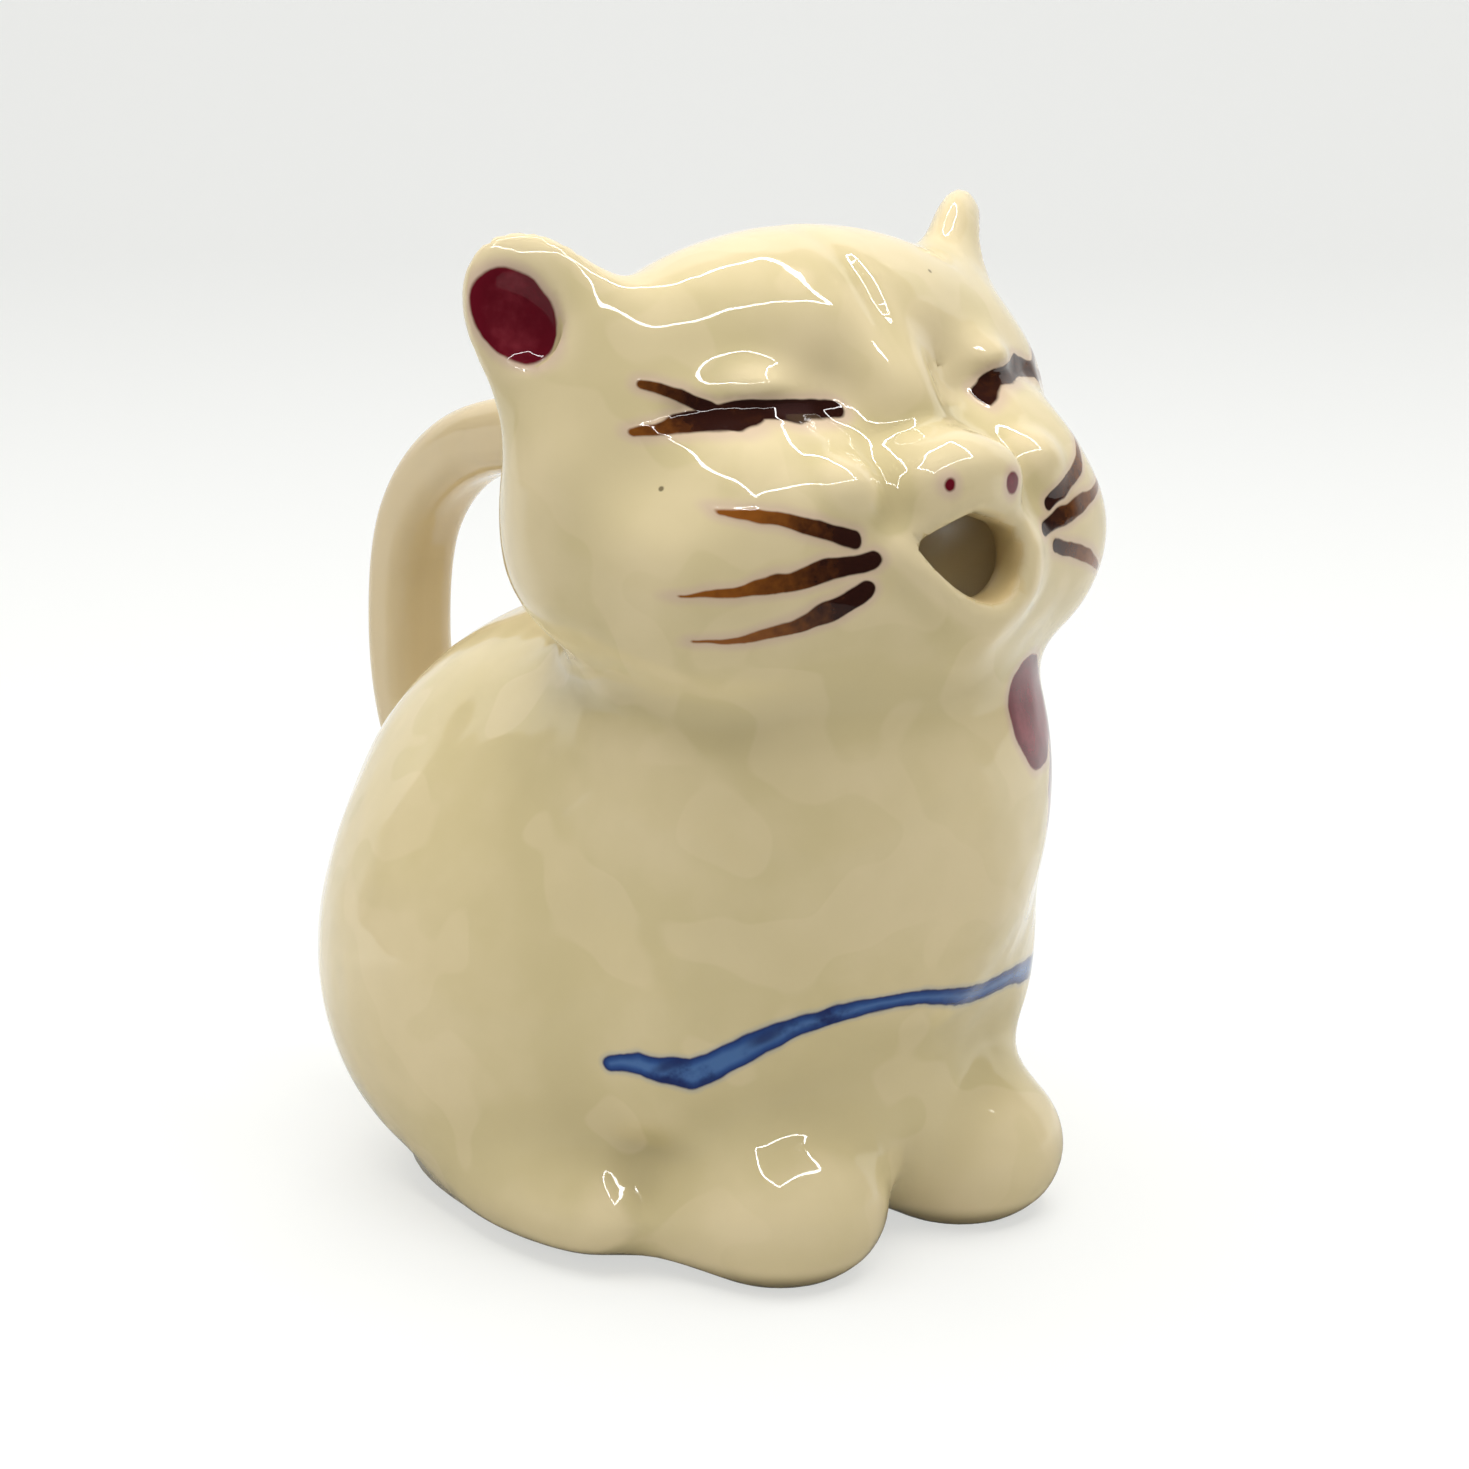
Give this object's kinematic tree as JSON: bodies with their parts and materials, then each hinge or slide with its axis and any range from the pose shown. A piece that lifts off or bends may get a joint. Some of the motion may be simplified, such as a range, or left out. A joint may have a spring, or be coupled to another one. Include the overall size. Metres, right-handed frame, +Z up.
{
  "type": "creamer",
  "caption": "Hollow ceramic creamer shaped as a seated cat: it pours from the open mouth, fills through an oval behind the crown, and has a strap handle from head to rump.",
  "frame": {"origin": "on the surface the jug stands on, under the centre of its bounding box", "axes": "+Z up, -Y the way the cat faces and pours, +X the cat's left"},
  "size_m": [0.0868, 0.1146, 0.1198],
  "materials": {
    "body_glaze": "glossy cream glaze with painted features",
    "handle_glaze": "glossy cream glaze"
  },
  "bodies": {
    "root": {"cat_body": "body_glaze", "handle": "handle_glaze"}
  },
  "joints": []
}
